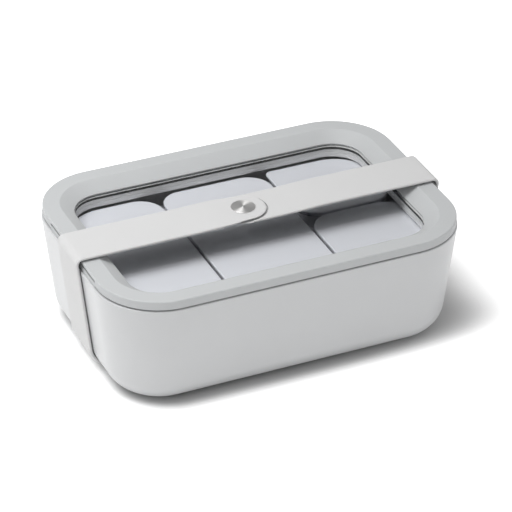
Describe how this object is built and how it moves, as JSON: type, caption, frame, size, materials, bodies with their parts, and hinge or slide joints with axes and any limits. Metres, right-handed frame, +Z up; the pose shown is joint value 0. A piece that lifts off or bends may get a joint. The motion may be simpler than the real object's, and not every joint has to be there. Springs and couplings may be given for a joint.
{
  "type": "lunch box",
  "caption": "Lunch box with a drafted tub, lidded inserts, a lift-off lid with a recessed clear window and a flat strap closed by a press stud.",
  "frame": {"origin": "on the table, under the middle of the box", "axes": "X along the length, -Y towards the front, Z up"},
  "size_m": [0.2374, 0.1596, 0.081],
  "materials": {
    "tub": "pale grey satin coating",
    "lid": "pale grey matte moulding",
    "window": "clear polished pane",
    "seal": "dark soft seal",
    "retainer": "grey matte moulding",
    "gasket": "grey silicone",
    "insert": "pale lavender grey satin coating",
    "insert_lid": "pale lavender grey matte moulding",
    "strap": "pale grey matte silicone",
    "snap": "spun steel"
  },
  "bodies": {
    "base": {"box_body": "tub", "strap_base": "strap"},
    "left_arm": {"strap_left_arm": "strap"},
    "tongue": {"strap_tongue": "strap", "snap_cap": "snap", "snap_socket": "snap"},
    "right_arm": {"strap_right_arm": "strap"},
    "tab": {"strap_tab": "strap", "snap_stud": "snap", "snap_post": "snap"},
    "lid": {"lid_frame": "lid", "lid_window": "window", "window_seal": "seal", "window_retainer": "retainer", "lid_gasket": "gasket"},
    "left_cup": {"left_insert": "insert"},
    "left_cover": {"left_insert_lid": "insert_lid"},
    "middle_cup": {"middle_insert": "insert"},
    "middle_cover": {"middle_insert_lid": "insert_lid"},
    "right_rear_cup": {"right_rear_insert": "insert"},
    "right_rear_cover": {"right_rear_insert_lid": "insert_lid"},
    "right_front_cup": {"right_front_insert": "insert"},
    "right_front_cover": {"right_front_insert_lid": "insert_lid"}
  },
  "joints": [
    {"name": "lid_lift", "type": "slide", "parent": "base", "child": "lid", "axis": [0, 0, 1], "range_m": [0, 0.0129]},
    {"name": "left_arm_swing", "type": "hinge", "parent": "base", "child": "left_arm", "pos_m": [-0.1122, -0.0037, 0.019], "axis": [0, -1, 0], "range_deg": [0, 53]},
    {"name": "tongue_peel", "type": "hinge", "parent": "left_arm", "child": "tongue", "pos_m": [-0.1187, -0.0037, 0.0756], "axis": [0, -1, 0], "range_deg": [0, 132]},
    {"name": "right_arm_swing", "type": "hinge", "parent": "base", "child": "right_arm", "pos_m": [0.1122, -0.0037, 0.019], "axis": [0, 1, 0], "range_deg": [0, 39.8]},
    {"name": "tab_peel", "type": "hinge", "parent": "right_arm", "child": "tab", "pos_m": [0.1187, -0.0037, 0.0756], "axis": [0, 1, 0], "range_deg": [0, 66]},
    {"name": "left_cup_lift", "type": "slide", "parent": "base", "child": "left_cup", "axis": [0, 0, 1], "range_m": [0, 0.0052]},
    {"name": "left_cover_lift", "type": "slide", "parent": "left_cup", "child": "left_cover", "axis": [0, 0, 1], "range_m": [0, 0.004]},
    {"name": "middle_cup_lift", "type": "slide", "parent": "base", "child": "middle_cup", "axis": [0, 0, 1], "range_m": [0, 0.0052]},
    {"name": "middle_cover_lift", "type": "slide", "parent": "middle_cup", "child": "middle_cover", "axis": [0, 0, 1], "range_m": [0, 0.004]},
    {"name": "right_rear_cup_lift", "type": "slide", "parent": "base", "child": "right_rear_cup", "axis": [0, 0, 1], "range_m": [0, 0.0052]},
    {"name": "right_rear_cover_lift", "type": "slide", "parent": "right_rear_cup", "child": "right_rear_cover", "axis": [0, 0, 1], "range_m": [0, 0.004]},
    {"name": "right_front_cup_lift", "type": "slide", "parent": "base", "child": "right_front_cup", "axis": [0, 0, 1], "range_m": [0, 0.0052]},
    {"name": "right_front_cover_lift", "type": "slide", "parent": "right_front_cup", "child": "right_front_cover", "axis": [0, 0, 1], "range_m": [0, 0.004]}
  ],
  "couplings": [
    {"joint": "tongue_peel", "follows": "lid_lift", "rad_per_m": 175},
    {"joint": "left_arm_swing", "follows": "lid_lift", "rad_per_m": 70},
    {"joint": "right_arm_swing", "follows": "lid_lift", "rad_per_m": 52.5},
    {"joint": "tab_peel", "follows": "lid_lift", "rad_per_m": 87.5},
    {"joint": "left_cup_lift", "follows": "lid_lift", "ratio": 0.386},
    {"joint": "left_cover_lift", "follows": "lid_lift", "ratio": 0.298},
    {"joint": "middle_cup_lift", "follows": "lid_lift", "ratio": 0.386},
    {"joint": "middle_cover_lift", "follows": "lid_lift", "ratio": 0.298},
    {"joint": "right_rear_cup_lift", "follows": "lid_lift", "ratio": 0.386},
    {"joint": "right_rear_cover_lift", "follows": "lid_lift", "ratio": 0.298},
    {"joint": "right_front_cup_lift", "follows": "lid_lift", "ratio": 0.386},
    {"joint": "right_front_cover_lift", "follows": "lid_lift", "ratio": 0.298}
  ]
}
